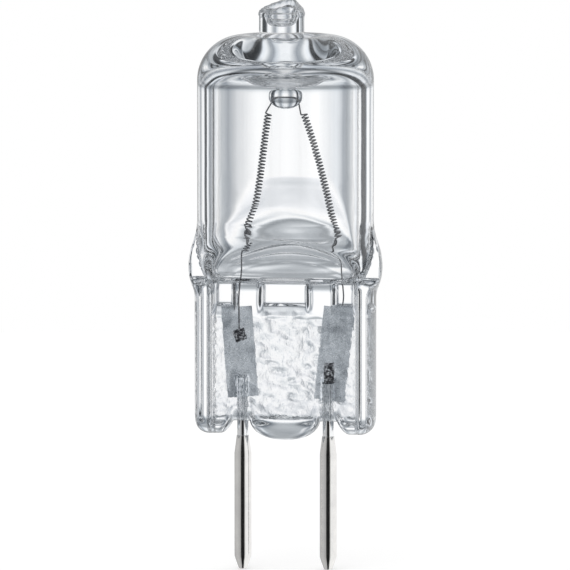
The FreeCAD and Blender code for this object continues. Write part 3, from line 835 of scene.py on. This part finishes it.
def pressed_point(kind, level, i, face):
    """A point of the seal, the throat or the barrel, in one of the foot's rows or the body's."""
    z_guess = foot_level if kind == "foot" else level
    open_up = float(smooth_step(seal_top, throat_top, z_guess))
    angle = crowded[i] * (1 - open_up) + straight[i] * open_up
    width = float(np.interp(z_guess, width_line[:, 1], width_line[:, 0]))
    x = width * math.sin(angle)
    if kind == "foot":
        low = float(np.interp(min(abs(x), seal_half_width), end_x, end_z))
        curl = rounding + curl_share * min(max(notch_top - low, 0.0), curl_limit)
        if level <= 1:
            z = low + level * curl
        else:
            z = low + curl + (level - 1) * (foot_top - low - curl)
        taper = min((z - low) / curl, 1.0)
        shrink = math.sqrt(max(1 - (1 - taper) ** 2, 0.0))
    else:
        z, shrink = level, 1.0
    circle = ear_section(x, z, math.sqrt(max(width * width - x * x, 0.0)))
    reach = float(half_thickness(np.float64(x), np.float64(z)))
    ease = 0.0003 + 0.0012 * float(smooth_step(seal_top + 0.0008, throat_top, z))
    ease = min(ease, 0.9 * circle + 1e-9)
    y = float(soft_min(np.float64(circle), np.float64(reach), ease))
    y = y + dent(x, z, face)
    if face > 0 and seal_top < z < throat_top:
        y += throat_fold(x, z)
    return (x, face * max(y, 0.0) * shrink, z)


def ring_of(row):
    """The points of one row, once round the outside from the left edge over the front."""
    points = []
    for k in range(2 * columns):
        face = -1 if k <= columns else 1
        i = k if k <= columns else 2 * columns - k
        if row[0] in ("foot", "body"):
            points.append(pressed_point(*row, i, face))
            continue
        r = row[1]
        x = r * math.sin(straight[i])
        y = face * r * math.cos(straight[i])
        if row[0] == "crown":
            points.append((x + tip_x * row[3], y, row[2]))
            continue
        top = tip_rim + break_height(x, y)
        if row[0] == "break":
            points.append((x + tip_x, y, break_low + (top - break_low) * row[2]))
        else:
            points.append((x + tip_x, y, top + (crater_floor - top) * row[2]))
    return points


def wall_from_rows(name, rings):
    """A skin over rings of points, from a grid that is rolled up and closed at seam and ends."""
    around = len(rings[0])
    bpy.ops.object.select_all(action="DESELECT")
    bpy.ops.mesh.primitive_grid_add(
        x_subdivisions=around, y_subdivisions=len(rings) - 1, size=1.0
    )
    skin = bpy.context.object
    skin.name = name
    rolled = np.array([ring + ring[:1] for ring in rings]).reshape(-1, 3)
    skin.data.vertices.foreach_set("co", rolled.ravel())
    skin.data.update()
    bpy.ops.object.mode_set(mode="EDIT")
    bpy.ops.mesh.select_all(action="SELECT")
    bpy.ops.mesh.remove_doubles(threshold=1e-6)
    bpy.ops.mesh.dissolve_degenerate(threshold=1e-7)
    bpy.ops.mesh.normals_make_consistent(inside=False)
    bpy.ops.object.mode_set(mode="OBJECT")
    return skin


outside = wall_from_rows("quartz_envelope", [ring_of(row) for row in rows])

# Glass envelope, inside: the gas space with its flattened foot, round shoulder and dimple.
# A short stem under the dimple carries the bead that grips the filament's bridge.
cavity_radius = 0.00542
cavity_corner = 0.0015
cavity_shoulder = 0.0017
cavity_top = 0.03745
dimple_radius = 0.0026
stem_top = 0.0363
stem_radius = 0.00072
bead_radius = 0.00124
bead_half = 0.00088
inner_columns = 64
throat_wall = 0.0006
wall_growth = 0.00048
bead_top = stem_top - 0.00036
inside_line = np.vstack([
    curve_points([
        (0.0, cavity_floor), (cavity_radius * 0.75, cavity_floor),
        (cavity_radius, cavity_floor + 0.00045), (cavity_radius, cavity_floor + cavity_corner),
    ], 26),
    [(cavity_radius, z) for z in np.linspace(
        cavity_floor + cavity_corner, cavity_top - cavity_shoulder, 46)[1:]],
    [(
        cavity_radius - cavity_shoulder + cavity_shoulder * math.cos(a),
        cavity_top - cavity_shoulder + cavity_shoulder * math.sin(a),
    ) for a in np.linspace(0, math.pi / 2, 20)[1:]],
    curve_points([
        (cavity_radius - cavity_shoulder, cavity_top), (dimple_radius, cavity_top),
        (dimple_radius, stem_top + 0.0001), (stem_radius + 0.00045, stem_top),
    ], 22)[1:],
    curve_points([
        (stem_radius + 0.00045, stem_top), (stem_radius + 0.0001, stem_top),
        (stem_radius, stem_top - 0.0001), (stem_radius, bead_top),
    ], 10)[1:],
    curve_points([
        (stem_radius, bead_top), (bead_radius * 0.9, bead_top),
        (bead_radius, bead_z + bead_half * 0.55), (bead_radius, bead_z),
    ], 14)[1:],
    curve_points([
        (bead_radius, bead_z), (bead_radius, bead_z - bead_half * 0.55),
        (bead_radius * 0.55, bead_z - bead_half), (0.0, bead_z - bead_half),
    ], 16)[1:],
])
# half the gas space's depth by height: in front it follows the throat behind a wall that grows
# evenly, and at the back it rises like a dome
slope = np.arctan2(np.gradient(throat_line[:, 0]), np.gradient(throat_line[:, 1]))
wall = throat_wall + wall_growth * smooth_step(0.0222, throat_top, throat_line[:, 1])
even_wall = np.column_stack([
    throat_line[:, 0] - wall * np.cos(slope), throat_line[:, 1] + wall * np.sin(slope),
])
foot_line_front = np.vstack([
    [(0.0003, cavity_floor), (0.00055, cavity_floor + 0.0001), (0.0007, cavity_floor + 0.0003)],
    even_wall[even_wall[:, 1] > cavity_floor + 0.0005],
    [(past_outside, throat_top + 0.002)],
])
foot_line_back = np.vstack([
    curve_points([
        (0.0003, cavity_floor), (0.0007, cavity_floor),
        (0.00085, cavity_floor + 0.0004), (0.0009, cavity_floor + 0.0009),
    ], 12),
    curve_points([
        (0.0009, cavity_floor + 0.0009), (0.00095, cavity_floor + 0.0012),
        (0.0044, throat_top + 0.0003), (cavity_radius + 0.0002, throat_top + 0.0022),
    ], 30)[1:],
    [(past_outside, throat_top + 0.0035)],
])
flattened_below = 0.03
inner_rings = []
for r, z in inside_line:
    ring = []
    for k in range(2 * inner_columns):
        angle = -math.pi / 2 + math.pi * k / inner_columns
        x = r * math.sin(angle)
        y = -r * math.cos(angle)
        foot_line = foot_line_front if y < 0 else foot_line_back
        limit = past_outside
        if z < flattened_below:
            limit = float(np.interp(z, foot_line[:, 1], foot_line[:, 0]))
        ease = 0.0004 + 0.0010 * float(smooth_step(seal_top + 0.0014, throat_top + 0.0006, z))
        ease = min(ease, 0.9 * abs(y) + 1e-9)
        flat = float(soft_min(np.float64(abs(y)), np.float64(limit), ease))
        ring.append((x, math.copysign(flat, y), z))
    inner_rings.append(ring)
inside = wall_from_rows("gas_space", inner_rings)
bpy.ops.object.mode_set(mode="EDIT")
bpy.ops.mesh.select_all(action="SELECT")
bpy.ops.mesh.flip_normals()
bpy.ops.object.mode_set(mode="OBJECT")
bpy.ops.object.select_all(action="DESELECT")
inside.select_set(True)
outside.select_set(True)
bpy.context.view_layer.objects.active = outside
bpy.ops.object.join()
envelope = bpy.context.object
bpy.ops.object.shade_smooth_by_angle(angle=math.radians(60))

quartz, tree, shader = new_finish("fused quartz")
place = node(tree, "ShaderNodeTexCoord").outputs["Object"]
heat_waves = node(
    tree, "ShaderNodeTexNoise", Vector=place, Scale=260.0, Detail=2.0, Roughness=0.4
)
soft = node(
    tree, "ShaderNodeBump", Height=heat_waves.outputs["Fac"], Strength=0.2, Distance=0.00006
)
# the jaws leave a fine slanting grain on the web, between the rails and below the windows
slanted = node(
    tree, "ShaderNodeMapping", Vector=place,
    Rotation=(0.0, math.radians(45), 0.0), Scale=(1.0, 1.0, 0.5),
)
grain = node(
    tree, "ShaderNodeTexNoise", Vector=slanted.outputs["Vector"],
    Scale=3000.0, Detail=3.0, Roughness=0.6,
)
grain_edge = 0.0003
spot = node(tree, "ShaderNodeSeparateXYZ", Vector=place).outputs
limits = []
for axis, low, high in (
    ("Z", 0.0111, 0.0188), ("X", -rail_inner, rail_inner), ("Y", -0.0019, 0.0019),
):
    for outer, inner in ((low, low + grain_edge), (high, high - grain_edge)):
        limits.append(span(tree, spot[axis], outer, inner, interpolation_type="SMOOTHSTEP"))
field = limits[0]
for limit in limits[1:]:
    field = maths(tree, "MULTIPLY", field, limit)
pressed = node(
    tree, "ShaderNodeBump", Height=maths(tree, "MULTIPLY", grain.outputs["Fac"], field),
    Normal=soft.outputs["Normal"], Strength=1.0, Distance=0.00005,
)
# and they leave its back a little matt
matt = span(tree, spot["Y"], 0.0003, 0.0006, To_Max=0.26)
feed(
    tree, shader, Base_Color=(1.0, 1.0, 1.0, 1.0), Transmission_Weight=1.0, IOR=1.46,
    Roughness=maths(tree, "MULTIPLY", matt, field), Normal=pressed.outputs["Normal"],
)
envelope.data.materials.clear()
envelope.data.materials.append(quartz)
envelope.visible_shadow = False
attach(envelope, "root")
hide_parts("glass_envelope")

# Floor, light and background: a pale table, a soft lamp above and a white studio all round.
# Glass and metal see the studio's white panels and the dark gaps between them, which draw their
# edges, and the camera sees plain white.
table_radius = 0.16
lamp_place = (-0.12, -0.18, 0.38)
lamp_aim = Vector((0, 0, 0.02))
bpy.ops.object.select_all(action="DESELECT")
bpy.ops.mesh.primitive_circle_add(vertices=128, radius=table_radius, fill_type="NGON")
floor = bpy.context.object
floor.name = "pale_table"


def choice(tree, share, first, second):
    """The first shader where share is 0 and the second where it is 1."""
    made = node(tree, "ShaderNodeMixShader")
    for source, socket in zip((share, first, second), made.inputs):
        tree.links.new(source, socket)
    return made.outputs[0]


table_top, tree, shader = new_finish("pale table top")
rays = node(tree, "ShaderNodeLightPath").outputs
feed(
    tree, shader, Base_Color=(0.8, 0.8, 0.8, 1.0), Roughness=0.9, Specular_IOR_Level=0.1,
    Emission_Color=(1.0, 1.0, 1.0, 1.0),
    Emission_Strength=maths(tree, "MULTIPLY", rays["Is Camera Ray"], 0.3),
)
# glass and metal look through the table to the studio
by_glass = maths(tree, "MAXIMUM", rays["Is Glossy Ray"], rays["Is Transmission Ray"])
unseen = node(tree, "ShaderNodeBsdfTransparent").outputs[0]
surface = choice(tree, by_glass, shader.outputs[0], unseen)
tree.links.new(surface, tree.nodes["Material Output"].inputs["Surface"])
floor.data.materials.append(table_top)

bpy.ops.object.light_add(type="AREA", location=lamp_place)
lamp = bpy.context.object
lamp.rotation_euler = (lamp.location - lamp_aim).to_track_quat("Z", "Y").to_euler()
lamp.data.size = 0.3
lamp.data.energy = 0.25
lamp.visible_glossy = False
lamp.visible_transmission = False

studio = bpy.data.worlds.new("white studio")
bpy.context.scene.world = studio
studio.use_nodes = True
tree = studio.node_tree
light = tree.nodes["Background"]
feed(tree, light, Color=(1.0, 1.0, 1.0, 1.0), Strength=0.85)
place = node(tree, "ShaderNodeTexCoord").outputs["Generated"]
turned = node(tree, "ShaderNodeMapping", Vector=place, Rotation=(0.0, 0.0, -view_turn))
parts = node(tree, "ShaderNodeSeparateXYZ", Vector=turned.outputs["Vector"]).outputs


def pattern(tree, angle, low, high, stops):
    """A ramp over an angle, from low to high in degrees, with its stops at degrees too."""
    level = span(tree, angle, math.radians(low), math.radians(high))
    return ramp(tree, level, [((turn - low) / (high - low), value) for turn, value in stops])


# behind the lamp stand cards set for this view
behind = maths(tree, "ARCTAN2", parts["X"], parts["Y"])
cards = pattern(tree, behind, -50, 50, [
    (-46, (0.20, 0.215, 0.23)),
    (-42, (0.50, 0.53, 0.56)),
    (-40, (0.90, 0.92, 0.95)),
    (-37, (0.90, 0.92, 0.95)),
    (-35.5, (0.03, 0.035, 0.04)),
    (-29.5, (0.03, 0.035, 0.04)),
    (-25.5, (0.95, 0.97, 1.0)),
    (-20, 1.0),
    (-14, (0.44, 0.465, 0.49)),
    (-10, (0.34, 0.365, 0.40)),
    (-3, 1.0),
    (3.5, 1.0),
    (7.5, (0.74, 0.77, 0.80)),
    (10.5, (0.35, 0.375, 0.41)),
    (14, (0.44, 0.465, 0.49)),
    (20, 1.0),
    (25.5, (0.95, 0.97, 1.0)),
    (30, (0.10, 0.11, 0.12)),
    (34, (0.03, 0.035, 0.04)),
    (44, (0.03, 0.035, 0.04)),
    (46.5, (0.70, 0.73, 0.76)),
    (47.5, 1.0),
])
# round the rest of the room a white card, grey edges and a thin dark gap come at each eighth turn
eighth_turn = maths(tree, "PINGPONG", maths(tree, "SUBTRACT", behind, view_turn), math.pi / 8)
room = ramp(tree, maths(tree, "MULTIPLY", eighth_turn, 8 / math.pi), [
    (turn / 22.5, value) for turn, value in (
        (0, 1.0),
        (5, 1.0),
        (8, (0.50, 0.53, 0.56)),
        (12.5, (0.42, 0.445, 0.47)),
        (14.5, (0.03, 0.035, 0.04)),
        (17.5, (0.03, 0.035, 0.04)),
        (19.5, (0.30, 0.32, 0.34)),
        (22.5, (0.34, 0.36, 0.38)),
    )
])
past_cards = maths(tree, "GREATER_THAN", maths(tree, "ABSOLUTE", behind), math.radians(47))
panels = node(tree, "ShaderNodeMix", data_type="RGBA", Factor=past_cards, A=cards, B=room)
# from the floor to the ceiling the panels are shaded in bands
ceiling = pattern(tree, maths(tree, "ARCSINE", parts["Z"]), -90, 90, [
    (-90, (0.90, 0.91, 0.93)),
    (-58, (0.82, 0.84, 0.87)),
    (-50, (0.50, 0.53, 0.56)),
    (-44, (0.07, 0.08, 0.09)),
    (-37, (0.07, 0.08, 0.09)),
    (-32, (0.34, 0.37, 0.40)),
    (-28, (0.52, 0.55, 0.58)),
    (-21, (0.66, 0.69, 0.72)),
    (-13, (0.80, 0.82, 0.85)),
    (-9.5, (0.97, 0.98, 1.0)),
    (-7, 1.0),
    (-4.5, (0.98, 0.99, 1.0)),
    (-1.5, (0.78, 0.81, 0.84)),
    (3, (0.48, 0.51, 0.54)),
    (10, (0.34, 0.365, 0.39)),
    (16, (0.36, 0.385, 0.41)),
    (23, (0.84, 0.87, 0.90)),
    (36, (0.84, 0.87, 0.90)),
    (45, (0.14, 0.155, 0.17)),
    (56, (0.60, 0.62, 0.64)),
    (90, 0.9),
])
shaded = node(
    tree, "ShaderNodeMix", data_type="RGBA", blend_type="MULTIPLY",
    Factor=1.0, A=panels.outputs["Result"], B=ceiling,
)
# metal sees a dark gap in front of the lamp, with white to its right and grey to its left
before = maths(tree, "ARCTAN2", parts["X"], maths(tree, "MULTIPLY", parts["Y"], -1.0))
mirrored = pattern(tree, before, -180, 180, [
    (-180, 0.5),
    (-80, 0.58),
    (-34, 0.45),
    (-24, 0.01),
    (18, 0.01),
    (34, 1.0),
    (150, 1.0),
    (180, 0.6),
])
through_glass = node(
    tree, "ShaderNodeBackground", Color=shaded.outputs["Result"], Strength=1.06
)
on_metal = node(tree, "ShaderNodeBackground", Color=mirrored, Strength=1.0)
white = node(tree, "ShaderNodeBackground", Color=(1.0, 1.0, 1.0, 1.0), Strength=1.0)
rays = node(tree, "ShaderNodeLightPath").outputs
# what a rough surface gathers through the glass is the plain soft light, and not the panels
direct = maths(tree, "LESS_THAN", rays["Diffuse Depth"], 0.5)
clear_path = maths(tree, "MULTIPLY", rays["Is Transmission Ray"], direct)
seen = light.outputs[0]
for ray, view in (
    (rays["Is Glossy Ray"], on_metal),
    (clear_path, through_glass),
    (rays["Is Camera Ray"], white),
):
    seen = choice(tree, ray, seen, view.outputs[0])
tree.links.new(seen, tree.nodes["World Output"].inputs["Surface"])
bpy.context.scene.view_settings.view_transform = "Standard"
# light finds its way out of thick glass only after many turns
bpy.context.scene.cycles.max_bounces = 28
bpy.context.scene.cycles.glossy_bounces = 20
bpy.context.scene.cycles.transmission_bounces = 28
